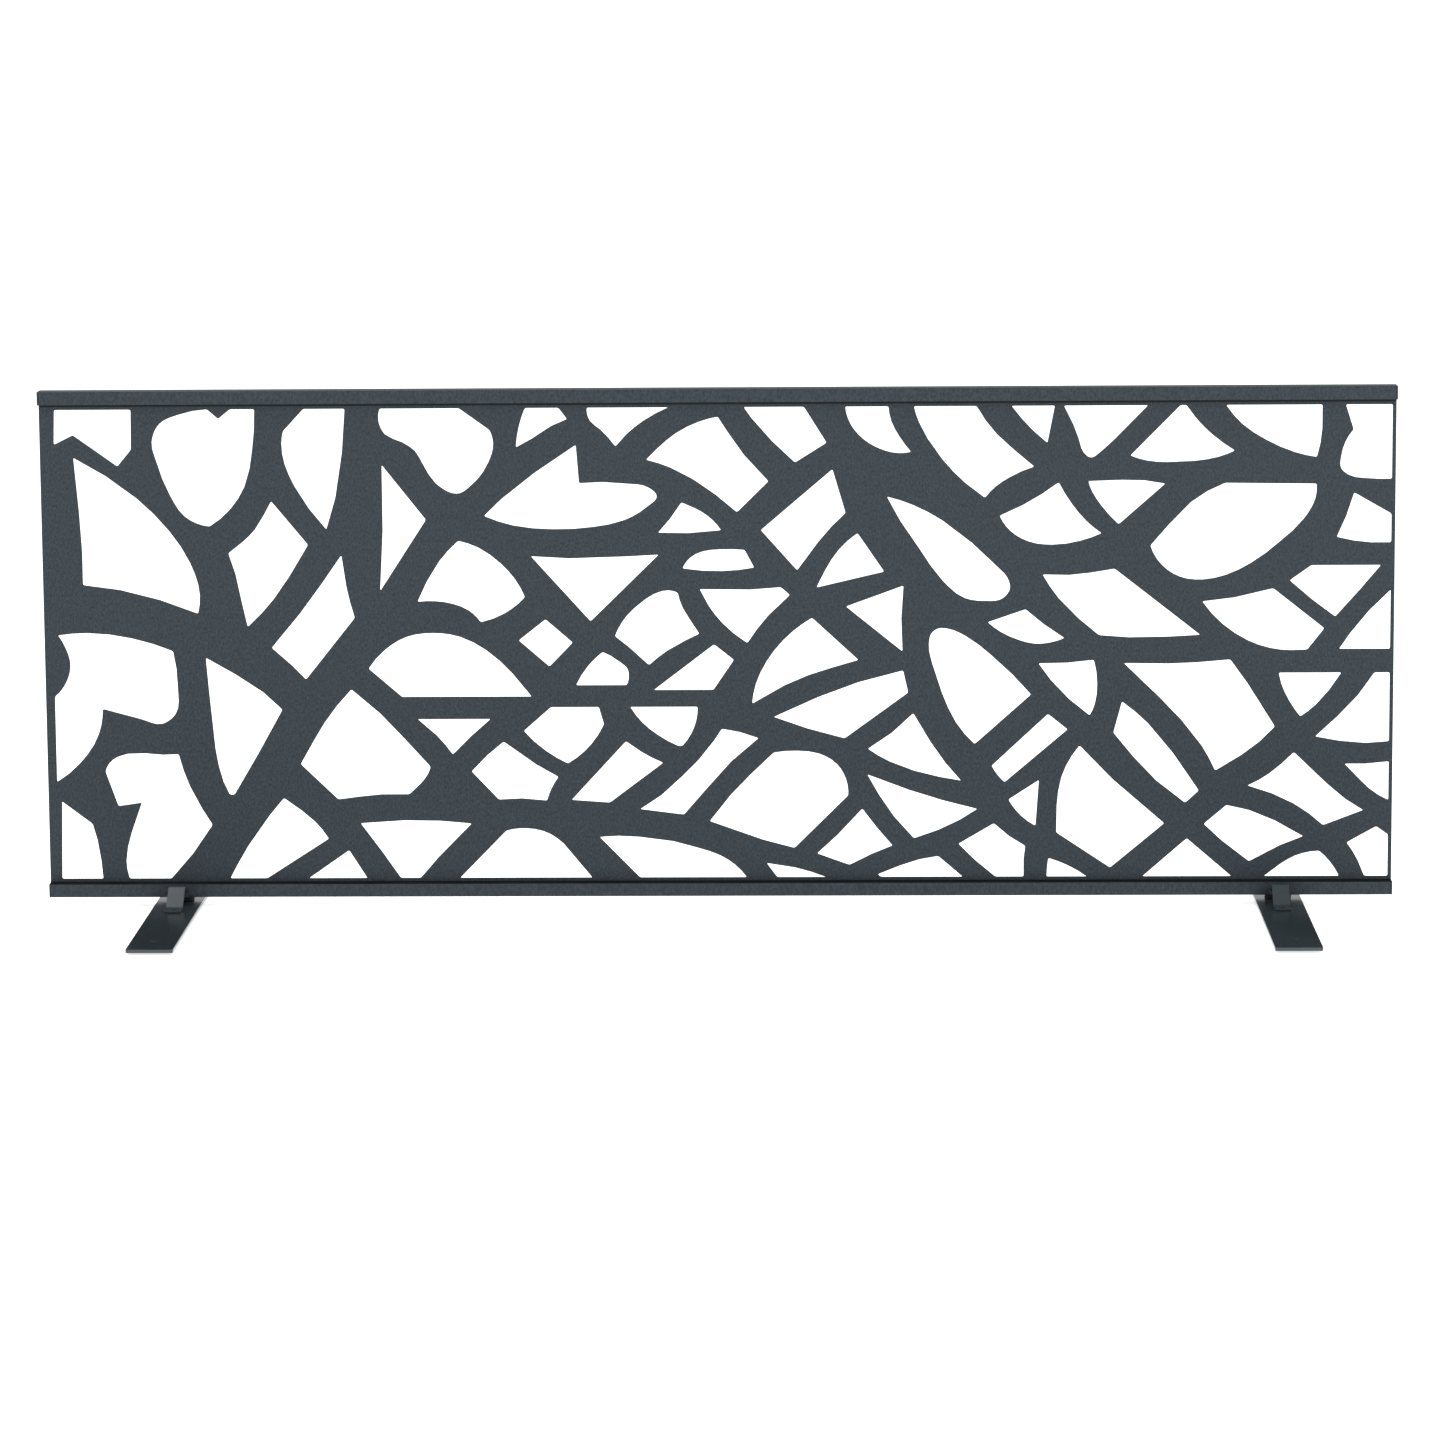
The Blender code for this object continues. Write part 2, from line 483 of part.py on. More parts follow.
def sheet_outline():
    """The sheet's edge: full width between the rails, and narrower tongues inside them."""
    half_width = PANEL_WIDTH / 2 - SHEET_SIDE_INSET
    half_tongue = PANEL_WIDTH / 2 - CAP_THICKNESS - 2 * CLEARANCE
    shoulder = RAIL_HEIGHT + CLEARANCE
    tongue_end = RAIL_HEIGHT - SHEET_IN_RAIL
    right_side = [(half_tongue, tongue_end), (half_tongue, shoulder), (half_width, shoulder)]
    right_side += [(x, PANEL_HEIGHT - z) for x, z in reversed(right_side)]
    return right_side + [(-x, z) for x, z in reversed(right_side)]


def make_sheet(coat):
    windows = [window_outline(window) for window in WINDOWS]
    bm = plate_mesh(sheet_outline(), windows, SHEET_THICKNESS)
    sheet = add_object("pattern_sheet", bm, coat, (0, PANEL_Y, PANEL_BOTTOM))
    sheet.rotation_euler.x = math.radians(90)


def rail_section(slot_up):
    """A folded rail's section, from its closed side at Z = 0 to the slot that takes the sheet."""
    half = RAIL_DEPTH / 2
    inner = half - RAIL_WALL
    lip = SHEET_THICKNESS / 2 + CLEARANCE
    slot_edge = Vector((-lip, RAIL_HEIGHT))
    open_corner = Vector((-half, RAIL_HEIGHT))
    closed_corner = Vector((-half, 0))
    fold = RAIL_WALL / 2
    outside = [slot_edge]
    outside += round_corner(slot_edge, open_corner, closed_corner, fold, 3)
    outside += round_corner(open_corner, closed_corner, Vector((0, 0)), fold, 3)
    inside = [Vector((-inner, RAIL_WALL)), Vector((-inner, RAIL_HEIGHT - RAIL_WALL)),
              Vector((-lip, RAIL_HEIGHT - RAIL_WALL))]
    front_half = inside + outside
    section = front_half + [Vector((-y, z)) for y, z in reversed(front_half)]
    if slot_up:
        return section
    return [(y, RAIL_HEIGHT - z) for y, z in section]


def screw_places():
    """Where the clamp screws stand along a rail."""
    pitch = PANEL_WIDTH / SCREWS_PER_RAIL
    return [(index + 0.5) * pitch - PANEL_WIDTH / 2 for index in range(SCREWS_PER_RAIL)]


def make_screw(name, x, z, steel):
    """A headless clamp screw from a rail's back face to the back of the sheet."""
    front_end = SHEET_THICKNESS / 2 + CLEARANCE
    back_end = RAIL_DEPTH / 2 - SCREW_SINK
    bm = cylinder_mesh(SCREW_RADIUS, back_end - front_end, "Y", SCREW_SIDES)
    place = (x, PANEL_Y + (front_end + back_end) / 2, z)
    screw = add_object(name, bm, steel, place)
    shade_round(screw)
    socket_radius = SCREW_SOCKET_ACROSS / math.sqrt(3)
    socket = cylinder_mesh(socket_radius, 2 * SCREW_SOCKET_DEPTH, "Y", 6)
    add_cut(screw, add_object(name + "_socket", socket, None, (x, PANEL_Y + back_end, z)))


def make_rail(side, slot_up, coat, steel):
    """One rail with its clamp screws."""
    bottom = PANEL_BOTTOM if slot_up else PANEL_TOP - RAIL_HEIGHT
    length = PANEL_WIDTH - 2 * (CAP_THICKNESS + CLEARANCE)
    rail = add_object(side + "_rail", bar_mesh(rail_section(slot_up), length), coat,
                      (0, PANEL_Y, bottom))
    shade_round(rail)
    middle = bottom + RAIL_HEIGHT / 2
    for index, x in enumerate(screw_places()):
        make_screw(f"{side}_rail_screw_{index + 1}", x, middle, steel)
    drills = drill_mesh(SCREW_RADIUS + CLEARANCE, RAIL_WALL * 2, "Y",
                        [(x, 0, 0) for x in screw_places()])
    wall_middle = PANEL_Y + RAIL_DEPTH / 2 - RAIL_WALL / 2
    add_cut(rail, add_object(side + "_rail_drills", drills, None, (0, wall_middle, middle)))


def make_cap(name, end, bottom, plastic):
    """An end cap: a thin plate with two prongs that go into the rail beside the sheet."""
    half = RAIL_DEPTH / 2
    bm = box_mesh((0, -half, 0), (CAP_THICKNESS, half, RAIL_HEIGHT))
    near = SHEET_THICKNESS / 2 + 2 * CLEARANCE
    far = half - RAIL_WALL - CLEARANCE
    low = RAIL_WALL + CLEARANCE
    high = RAIL_HEIGHT - low
    for y in (-far, -near, near, far):
        bmesh.ops.bisect_plane(bm, geom=bm.verts[:] + bm.edges[:] + bm.faces[:],
                               plane_co=(0, y, 0), plane_no=(0, 1, 0))
    for z in (low, high):
        bmesh.ops.bisect_plane(bm, geom=bm.verts[:] + bm.edges[:] + bm.faces[:],
                               plane_co=(0, 0, z), plane_no=(0, 0, 1))
    roots = []
    for face in bm.faces:
        centre = face.calc_center_median()
        if centre.x < CAP_THICKNESS / 2 and near < abs(centre.y) < far and low < centre.z < high:
            roots.append(face)
    for root in roots:
        prong = bmesh.ops.extrude_discrete_faces(bm, faces=[root])["faces"][0]
        bmesh.ops.translate(bm, verts=prong.verts, vec=(-CAP_PRONG_LENGTH, 0, 0))
    bmesh.ops.scale(bm, verts=bm.verts, vec=(end, 1, 1))
    inner_face = PANEL_WIDTH / 2 - CAP_THICKNESS
    add_object(name, bm, plastic, (end * inner_face, PANEL_Y, bottom))


def make_panel(coat, steel, plastic):
    make_sheet(coat)
    for side, slot_up, bottom in (("bottom", True, PANEL_BOTTOM),
                                  ("top", False, PANEL_TOP - RAIL_HEIGHT)):
        make_rail(side, slot_up, coat, steel)
        make_cap(f"{side}_rail_left_cap", -1, bottom, plastic)
        make_cap(f"{side}_rail_right_cap", 1, bottom, plastic)


# ---------------------------------------------------------------- the feet

def rounded_rectangle(left, right, front, back, cut):
    corners = [Vector(place) for place in ((left, front), (right, front), (right, back),
                                           (left, back))]
    outline = []
    for index, corner in enumerate(corners):
        outline += round_corner(corners[index - 1], corner, corners[(index + 1) % 4], cut, 4)
    return outline


def pad_places():
    """The middles of the front and the rear floor pad, from the panel's plane."""
    front = FOOT_REAR - FOOT_LENGTH + FRONT_PAD_FROM_END
    return {"front": front, "rear": FOOT_REAR - REAR_PAD_FROM_END}


def flange_middle():
    """How far a clip's rivet stands from the panel's plane."""
    return RAIL_DEPTH / 2 + CLIP_LEAN + CLIP_FLANGE / 2


def make_plate(foot, coat):
    """The foot's flat bar, with holes for its rivets. Those of the clips sink in from below."""
    outline = rounded_rectangle(-FOOT_WIDTH / 2, FOOT_WIDTH / 2, FOOT_REAR - FOOT_LENGTH,
                                FOOT_REAR, FOOT_CORNER)
    middle = PLATE_BOTTOM + FOOT_THICKNESS / 2
    plate = add_object(foot.name + "_plate", plate_mesh(outline, [], FOOT_THICKNESS), coat,
                       (0, 0, middle), foot)
    add_bevel(plate, FOOT_EDGE, 2)
    clip_places = [-flange_middle(), flange_middle()]
    hole_places = list(pad_places().values()) + clip_places
    drills = drill_mesh(RIVET_RADIUS + CLEARANCE, FOOT_THICKNESS * 2, "Z",
                        [(0, y, 0) for y in hole_places])
    add_cut(plate, add_object(plate.name + "_drills", drills, None, (0, 0, middle), foot))
    sinks = drill_mesh(RIVET_HEAD_RADIUS + CLEARANCE, (RIVET_HEAD_HEIGHT + CLEARANCE) * 2, "Z",
                       [(0, y, 0) for y in clip_places])
    add_cut(plate, add_object(plate.name + "_sinks", sinks, None, (0, 0, PLATE_BOTTOM), foot))


def clip_path(rise):
    """The clip's middle line as (distance out from the rail, height) points.

    From its flange the strap rises to a peak, which guides the rail in. It then falls to the
    rail, and its last stretch presses on the rail's face.
    """
    flat = PLATE_TOP + CLEARANCE + CLIP_THICKNESS / 2
    pressed = CLEARANCE + CLIP_THICKNESS / 2
    corners = [Vector((CLIP_LEAN + CLIP_FLANGE, flat)), Vector((CLIP_LEAN, flat)),
               Vector((CLIP_PEAK, PLATE_TOP + rise)),
               Vector((pressed, PANEL_BOTTOM + CLEARANCE + CLIP_PRESS)),
               Vector((pressed, PANEL_BOTTOM + CLEARANCE))]
    path = [corners[0]]
    for before, corner, after in zip(corners, corners[1:], corners[2:]):
        path += round_corner(before, corner, after, CLIP_BEND, 4)
    return path + [corners[-1]]


def make_clip(foot, side, facing, rise, steel):
    """One spring clip: a folded strap with a flange on the plate and a leaf on the rail."""
    bm = bmesh.new()
    half = CLIP_WIDTH / 2
    rows = []
    for out, height in clip_path(rise):
        y = facing * (RAIL_DEPTH / 2 + out)
        rows.append([bm.verts.new((x, y, height)) for x in (-half, half)])
    for row, following in zip(rows, rows[1:]):
        bm.faces.new((row[0], row[1], following[1], following[0]))
    clip = add_object(f"{foot.name}_{side}_clip", bm, steel, (0, 0, 0), foot)
    thicken = clip.modifiers.new("sheet metal", "SOLIDIFY")
    thicken.thickness = CLIP_THICKNESS
    thicken.offset = 0
    thicken.use_even_offset = True
    drill = drill_mesh(RIVET_RADIUS + CLEARANCE, CLIP_THICKNESS * 2, "Z", [(0, 0, 0)])
    flat = PLATE_TOP + CLEARANCE + CLIP_THICKNESS / 2
    add_cut(clip, add_object(clip.name + "_drill", drill, None,
                             (0, facing * flange_middle(), flat), foot))


def make_clip_rivet(foot, side, facing, steel):
    """A rivet whose head is flush with the plate's underside and its end with the flange."""
    head_top = PLATE_BOTTOM + RIVET_HEAD_HEIGHT
    shank_top = PLATE_TOP + CLEARANCE + CLIP_THICKNESS
    profile = [(0, PLATE_BOTTOM), (RIVET_HEAD_RADIUS, PLATE_BOTTOM),
               (RIVET_HEAD_RADIUS, head_top), (RIVET_RADIUS, head_top),
               (RIVET_RADIUS, shank_top), (0, shank_top)]
    rivet = add_object(f"{foot.name}_{side}_clip_rivet", turned_mesh(profile), steel,
                       (0, facing * flange_middle(), 0), foot)
    shade_round(rivet)


def make_pad(foot, side, y, rubber, steel):
    """A rubber floor pad and the low-headed rivet that holds it."""
    pad_top = PLATE_BOTTOM - CLEARANCE
    hole_bottom = pad_top - PAD_HEIGHT / 2
    hole_radius = RIVET_RADIUS + CLEARANCE
    edge = PAD_HEIGHT / 5
    pad_profile = [(0, 0), (PAD_RADIUS - edge, 0), (PAD_RADIUS, edge), (PAD_RADIUS, pad_top),
                   (hole_radius, pad_top), (hole_radius, hole_bottom), (0, hole_bottom)]
    pad = add_object(f"{foot.name}_{side}_pad", turned_mesh(pad_profile), rubber, (0, y, 0),
                     foot)
    shade_round(pad)
    head_bottom = PLATE_TOP + CLEARANCE
    head_top = head_bottom + RIVET_HEAD_HEIGHT / 2
    rivet_profile = [(0, hole_bottom + CLEARANCE), (RIVET_RADIUS, hole_bottom + CLEARANCE),
                     (RIVET_RADIUS, head_bottom), (RIVET_HEAD_RADIUS, head_bottom),
                     (RIVET_HEAD_RADIUS * 0.8, head_bottom + RIVET_HEAD_HEIGHT / 3),
                     (RIVET_HEAD_RADIUS * 0.4, head_top), (0, head_top)]
    rivet = add_object(f"{foot.name}_{side}_pad_rivet", turned_mesh(rivet_profile), steel,
                       (0, y, 0), foot)
    shade_round(rivet)


def make_seat(foot, rubber):
    """The rubber seat between the plate and the bottom rail."""
    half_depth = RAIL_DEPTH / 2
    bm = box_mesh((-SEAT_WIDTH / 2, -half_depth, PLATE_TOP + CLEARANCE),
                  (SEAT_WIDTH / 2, half_depth, PANEL_BOTTOM - CLEARANCE))
    seat = add_object(foot.name + "_seat", bm, rubber, (0, 0, 0), foot)
    add_bevel(seat, CLEARANCE, 2)


def make_foot(side, x, coat, clip_coat, rubber, steel):
    foot = bpy.data.objects.new(side + "_foot", None)
    foot.location = (x, PANEL_Y, 0)
    bpy.context.scene.collection.objects.link(foot)
    make_plate(foot, coat)
    make_seat(foot, rubber)
    for end, facing, rise in (("front", -1, FRONT_CLIP_RISE), ("rear", 1, REAR_CLIP_RISE)):
        make_clip(foot, end, facing, rise, clip_coat)
        make_clip_rivet(foot, end, facing, steel)
    for end, y in pad_places().items():
        make_pad(foot, end, y, rubber, steel)


# ---------------------------------------------------------------- the whole object

def build():
    clear_scene()
    coat = make_material("anthracite powder coat", (0.052, 0.066, 0.077), 0.55, 0.0)
    plate_coat = make_material("satin coat on steel plate", (0.028, 0.036, 0.040), 0.35, 0.0)
    clip_coat = make_material("coated spring steel", (0.10, 0.115, 0.13), 0.45, 0.0)
    steel = make_material("blackened steel", (0.05, 0.05, 0.052), 0.40, 1.0)
    rubber = make_material("black rubber", (0.012, 0.012, 0.013), 0.75, 0.0)
    plastic = make_material("dark moulded plastic", (0.045, 0.055, 0.063), 0.5, 0.0)
    make_panel(coat, steel, plastic)
    make_foot("left", LEFT_FOOT_FROM_END - PANEL_WIDTH / 2, plate_coat, clip_coat, rubber, steel)
    make_foot("right", PANEL_WIDTH / 2 - RIGHT_FOOT_FROM_END, plate_coat, clip_coat, rubber,
              steel)


build()
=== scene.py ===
# %% [markdown]
# # A fireplace screen with a branching cut pattern
# This screen is 1.2 m long and stands low in front of a hearth. One steel sheet is cut through
# with 84 windows. A folded rail stiffens each long edge, and two feet slide along the bottom rail
# and hold it with spring clips. The engineering model already has every piece at its true size.
# This script gives the pieces their soft edges and their finish, then builds a small studio.

# %% Load the engineering model
import json
import math

import bmesh
import bpy
from mathutils import Matrix, Vector


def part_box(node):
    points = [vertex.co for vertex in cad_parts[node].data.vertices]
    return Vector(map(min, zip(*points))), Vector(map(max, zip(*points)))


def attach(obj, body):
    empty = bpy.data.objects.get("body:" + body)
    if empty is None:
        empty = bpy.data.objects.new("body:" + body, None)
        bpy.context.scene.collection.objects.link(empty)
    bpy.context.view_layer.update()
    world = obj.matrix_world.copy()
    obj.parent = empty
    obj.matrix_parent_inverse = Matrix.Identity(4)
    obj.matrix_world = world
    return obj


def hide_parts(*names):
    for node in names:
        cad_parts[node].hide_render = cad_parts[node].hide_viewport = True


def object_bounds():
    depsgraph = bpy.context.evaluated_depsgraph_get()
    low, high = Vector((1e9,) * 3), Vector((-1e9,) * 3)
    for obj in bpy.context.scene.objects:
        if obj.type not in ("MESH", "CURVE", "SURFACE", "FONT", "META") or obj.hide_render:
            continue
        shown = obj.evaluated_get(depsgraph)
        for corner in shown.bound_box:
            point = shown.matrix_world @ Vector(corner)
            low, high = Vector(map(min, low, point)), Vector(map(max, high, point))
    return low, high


MM = 0.001
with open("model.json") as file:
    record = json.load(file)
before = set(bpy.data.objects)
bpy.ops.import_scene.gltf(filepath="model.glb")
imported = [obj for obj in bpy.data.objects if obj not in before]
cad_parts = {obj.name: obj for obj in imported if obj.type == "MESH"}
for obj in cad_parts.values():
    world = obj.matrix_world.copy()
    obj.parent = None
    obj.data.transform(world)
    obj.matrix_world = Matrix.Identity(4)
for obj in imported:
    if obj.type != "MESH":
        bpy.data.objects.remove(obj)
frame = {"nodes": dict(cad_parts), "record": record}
size_at_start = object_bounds()
body_of_node = {node: body for body, nodes in frame["record"]["behaviour"]["bodies"].items()
                for node in nodes}

# %% [markdown]
# ## Colours
# A hex code says how bright a colour looks. A renderer adds up light, so each code is first
# turned into the share of light that the surface sends back. One function does this for every
# colour in the scene, so the codes can be compared with a paint chart.

# %% Turn a hex code into linear light
def linear(code):
    shares = [int(code[start:start + 2], 16) / 255 for start in (1, 3, 5)]
    light = [share / 12.92 if share <= 0.04045 else ((share + 0.055) / 1.055) ** 2.4
             for share in shares]
    return (*light, 1)


# %% [markdown]
# ## Shader nodes
# A finish is a small network of nodes that ends in one Principled shader. These two functions
# start a finish and add one node with its settings, its fixed values and the sockets that feed
# it. Everything that a finish needs can then be read in its own cell.

# %% Start a finish and add nodes to it
def new_finish(name, **values):
    finish = bpy.data.materials.new(name)
    finish.use_nodes = True
    shader = finish.node_tree.nodes["Principled BSDF"]
    for socket, value in values.items():
        shader.inputs[socket.replace("_", " ")].default_value = value
    return finish, shader


def add_node(finish, kind, settings=None, values=None, links=None):
    node = finish.node_tree.nodes.new(kind)
    for name, value in (settings or {}).items():
        setattr(node, name, value)
    for socket, value in (values or {}).items():
        node.inputs[socket].default_value = value
    for socket, source in (links or {}).items():
        finish.node_tree.links.new(source, node.inputs[socket])
    return node


def feed(finish, source, target):
    finish.node_tree.links.new(source, target)


# %% [markdown]
# ## Grain
# Coated steel is never quite even: powder melts into a fine grain, and rubber and moulded plastic
# keep the texture of their mould. This function lays a grain of a given size over a finish. It
# tints the colour a little and tips the surface a little, both from the same noise, so a light
# spot is also a high spot. The noise is stretched upwards where the grain runs that way.

# %% Lay a grain over a finish
DARK_BELOW, LIGHT_ABOVE = 0.3, 0.7      # noise values at which the tint is fully dark or light


def add_grain(finish, shader, size, light, dark, depth, stretch=1.0):
    place = add_node(finish, "ShaderNodeTexCoord")
    scaled = add_node(finish, "ShaderNodeMapping",
                      values={"Scale": (1 / size, 1 / size, 1 / size / stretch)},
                      links={"Vector": place.outputs["Object"]})
    noise = add_node(finish, "ShaderNodeTexNoise",
                     values={"Scale": 1.0, "Detail": 2.0, "Roughness": 0.6},
                     links={"Vector": scaled.outputs["Vector"]})
    ramp = add_node(finish, "ShaderNodeValToRGB", links={"Fac": noise.outputs["Fac"]})
    darkest, lightest = ramp.color_ramp.elements
    darkest.position, darkest.color = DARK_BELOW, linear(dark)
    lightest.position, lightest.color = LIGHT_ABOVE, linear(light)
    bump = add_node(finish, "ShaderNodeBump", values={"Strength": 1.0, "Distance": depth},
                    links={"Height": noise.outputs["Fac"]})
    feed(finish, bump.outputs["Normal"], shader.inputs["Normal"])
    return ramp.outputs["Color"]


def paint(finish, shader, colour):
    feed(finish, colour, shader.inputs["Base Color"])


# %% [markdown]
# ## Painted shade that depends on the place
# A band mask is 1 between two heights and falls to 0 just outside them. Two colours are then
# blended by the mask, so one finish can have a line of painted shade where a piece meets its
# neighbour, without any extra geometry.

# %% Band mask and colour blend
MIX_FIRST, MIX_SECOND, MIX_RESULT = 6, 7, 2      # the sockets of a Mix node that carry colours


def band_mask(finish, low, high, fade):
    place = add_node(finish, "ShaderNodeTexCoord")
    split = add_node(finish, "ShaderNodeSeparateXYZ", links={"Vector": place.outputs["Object"]})
    above = add_node(finish, "ShaderNodeMapRange",
                     values={"From Min": low - fade, "From Max": low},
                     links={"Value": split.outputs["Z"]})
    below = add_node(finish, "ShaderNodeMapRange",
                     values={"From Min": high + fade, "From Max": high},
                     links={"Value": split.outputs["Z"]})
    return add_node(finish, "ShaderNodeMath", settings={"operation": "MULTIPLY"},
                    links={0: above.outputs["Result"], 1: below.outputs["Result"]}).outputs[0]


def blend(finish, mask, colour, code):
    mix = add_node(finish, "ShaderNodeMix", settings={"data_type": "RGBA"},
                   values={MIX_SECOND: linear(code)},
                   links={"Factor": mask, MIX_FIRST: colour})
    return mix.outputs[MIX_RESULT]


# %% [markdown]
# ## Powder coat
# The sheet and the rails are sprayed with anthracite powder and baked. The real coat is a skin
# about 0.08 mm thick with a fine structure, so it looks matt and slightly sandy, and its blue-grey
# stays even from every side. The grain is drawn a little coarser than life, 1.4 mm, because a
# finer one would vanish at the distance from which the whole screen is seen. A thin dark line of
# painted shade follows the joint between rail and sheet, where the rail shades the sheet.

# %% Powder coat of the sheet and rails
# bands of painted shade along the rail joints, given around each joint
TOP_PAINTED_SHADE = (-2.2 * MM, 0.1 * MM)         # from the top rail's lower edge
BOTTOM_PAINTED_SHADE = (-0.2 * MM, 0.5 * MM)      # from the bottom rail's upper edge
powder, powder_shader = new_finish("anthracite fine-structure powder coat, sprayed and baked",
                                   Roughness=0.6, Specular_IOR_Level=0.18)
powder_colour = add_grain(powder, powder_shader, size=1.4 * MM, light="#3A4248",
                          dark="#282F34", depth=0.03 * MM, stretch=1.8)
# painted shade: each rail-sheet joint gets a dark band painted into the coat colour, where the
# rail shades the sheet
for joint, line in ((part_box("top_rail")[0].z, TOP_PAINTED_SHADE),
                    (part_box("bottom_rail")[1].z, BOTTOM_PAINTED_SHADE)):
    painted_shade_line = band_mask(powder, joint + line[0], joint + line[1], fade=0.3 * MM)
    powder_colour = blend(powder, painted_shade_line, powder_colour, "#14181B")
paint(powder, powder_shader, powder_colour)
print("finish:", powder.name)

# %% [markdown]
# ## Satin coat of the foot plates
# The feet are smoother and darker than the panel. A thin satin coat on flat bar mirrors its
# surroundings softly, so a bright strip shows on each plate where it looks through the gap under
# the rail. The bar's edges were broken with a file, and every face that does not face up or down
# is painted paler than the top: a painted highlight where the edges catch the light.

# %% Satin coat of the foot plates
satin, satin_shader = new_finish("dark satin coat on rolled flat bar", Roughness=0.2,
                                 Specular_IOR_Level=0.5)
satin_colour = add_grain(satin, satin_shader, size=2.5 * MM, light="#323A3E", dark="#2C3438",
                         depth=0.004 * MM)
# painted highlight: the sides and edges of the plate are painted paler than its top
facing = add_node(satin, "ShaderNodeNewGeometry")
upward = add_node(satin, "ShaderNodeSeparateXYZ", links={"Vector": facing.outputs["Normal"]})
slope = add_node(satin, "ShaderNodeMath", settings={"operation": "ABSOLUTE"},
                 links={0: upward.outputs["Z"]})
painted_edge_highlight = add_node(satin, "ShaderNodeMapRange", values={"From Min": 0.95, "From Max": 0.5},
               links={"Value": slope.outputs[0]})
paint(satin, satin_shader, blend(satin, painted_edge_highlight.outputs["Result"], satin_colour, "#353E43"))
print("finish:", satin.name)

# %% [markdown]
# ## Coated spring steel
# The clips are bent from spring strip and coated a shade lighter than the panel. Their leaves
# lean back and catch more of the light from above, and the coat is matt enough to show no mirror
# image.

# %% Coat of the spring clips
spring, spring_shader = new_finish("grey coat on bent spring strip", Roughness=0.4,
                                   Specular_IOR_Level=0.5)
paint(spring, spring_shader, add_grain(spring, spring_shader, size=1.2 * MM, light="#353F44",
                                       dark="#2F383D", depth=0.008 * MM))
print("finish:", spring.name)

# %% [markdown]
# ## Small steel parts
# Clamp screws and rivets are blackened in a hot salt bath. The oxide is thin, so the steel below
# still gives a dull metal glint and makes the dark parts look hard next to the coat. A light
# grain in the roughness keeps the glint from looking like plastic.

# %% Blackened steel
black_steel, black_steel_shader = new_finish("steel blackened in a salt bath", Metallic=1.0,
                                             Roughness=0.42)
paint(black_steel, black_steel_shader,
      add_grain(black_steel, black_steel_shader, size=0.8 * MM, light="#4A4A4C", dark="#3C3C3E",
                depth=0.004 * MM))
print("finish:", black_steel.name)

# %% [markdown]
# ## Rubber and plastic
# The floor pads and seats are moulded black rubber: very dark, with a broad weak sheen. The end
# caps are injection moulded in the colour of the rails, and a little shinier than the powder coat,
# which lets the eye tell them apart close up.

# %% Rubber and moulded plastic
rubber, rubber_shader = new_finish("moulded black rubber", Roughness=0.78,
                                   Specular_IOR_Level=0.35)
paint(rubber, rubber_shader, add_grain(rubber, rubber_shader, size=0.9 * MM, light="#161718",
                                       dark="#101112", depth=0.02 * MM))
plastic, plastic_shader = new_finish("injection moulded anthracite plastic", Roughness=0.5,
                                     Specular_IOR_Level=0.25)
paint(plastic, plastic_shader, add_grain(plastic, plastic_shader, size=0.6 * MM, light="#394247",
                                         dark="#31383D", depth=0.01 * MM))
print("finishes:", rubber.name, "and", plastic.name)

# %% [markdown]
# ## Whole faces from loose triangles
# The engineering solids are made of loose flat triangles. Each one is copied, the triangles are
# sewn together at their corners, and neighbours that lie in one plane become one face. Only then
# does the piece have real edges, and a second function finds the ones that turn sharply.

# %% Copy a solid and join its triangles
def merged_copy(node):
    bm = bmesh.new()
    bm.from_mesh(frame["nodes"][node].data)
    bmesh.ops.remove_doubles(bm, verts=bm.verts, dist=0.005 * MM)
    bmesh.ops.dissolve_limit(bm, angle_limit=math.radians(0.5), verts=bm.verts, edges=bm.edges)
    bmesh.ops.recalc_face_normals(bm, faces=bm.faces)
    return bm


def sharp_edges(bm, degrees):
    return [edge for edge in bm.edges if edge.is_manifold
            and edge.calc_face_angle() > math.radians(degrees)]


# %% [markdown]
# ## Soft edges
# No real edge is as sharp as a knife, and it is the narrow rounding that catches the light. So
# every sharp edge is bevelled, unless its width is given as 0. Weighted normals keep the broad
# faces flat while the bevels shade as one smooth curve. The new piece moves with the body of its
# solid and takes its place.

# %% Bevel the copy and let it stand for the solid
SHARP_EDGE = 40          # degrees: an edge that turns more than this is bevelled
SHADED_SHARP = 50        # degrees: an edge that turns more than this stays a crease


def soft_piece(node, finish, width, segments=2):
    bm = merged_copy(node)
    if width:
        bmesh.ops.bevel(bm, geom=sharp_edges(bm, SHARP_EDGE), affect="EDGES", offset=width,
                        segments=segments, profile=0.5, material=-1, clamp_overlap=True)
    mesh = bpy.data.meshes.new(node + "_soft")
    bm.to_mesh(mesh)
    bm.free()
    mesh.materials.append(finish)
    mesh.shade_smooth()
    mesh.set_sharp_from_angle(angle=math.radians(SHADED_SHARP))
    piece = bpy.data.objects.new(node + "_soft", mesh)
    bpy.context.scene.collection.objects.link(piece)
    weighted = piece.modifiers.new("flat broad faces", "WEIGHTED_NORMAL")
    weighted.keep_sharp = True
    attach(piece, body_of_node[node])
    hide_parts(node)
    return piece


# %% [markdown]
# ## The cut sheet
# A laser cuts the windows and leaves crisp edges, and the powder then gathers on them and rounds
# them off. A bevel of 0.3 mm on both faces of every window does the same. The outlines themselves
# come from the engineering model, so the pattern stays exact.

# %% The cut sheet
sheet = soft_piece("pattern_sheet", powder, width=0.3 * MM)
print(f"{sheet.name}: {len(sheet.data.polygons)} faces")

# %% [markdown]
# ## The rails and their caps
# Each rail is folded from thin steel into a channel with a slot, and the sheet stands in the slot.
# The folds are round already, so only the slot's lips and the ends need softening. The caps close
# the rail ends and have the wider rounding that a mould gives.

# %% Rails and end caps
for side in ("top", "bottom"):
    soft_piece(f"{side}_rail", powder, width=0.2 * MM)
    for end in ("left", "right"):
        soft_piece(f"{side}_rail_{end}_cap", plastic, width=0.2 * MM)
print("rails and caps done")

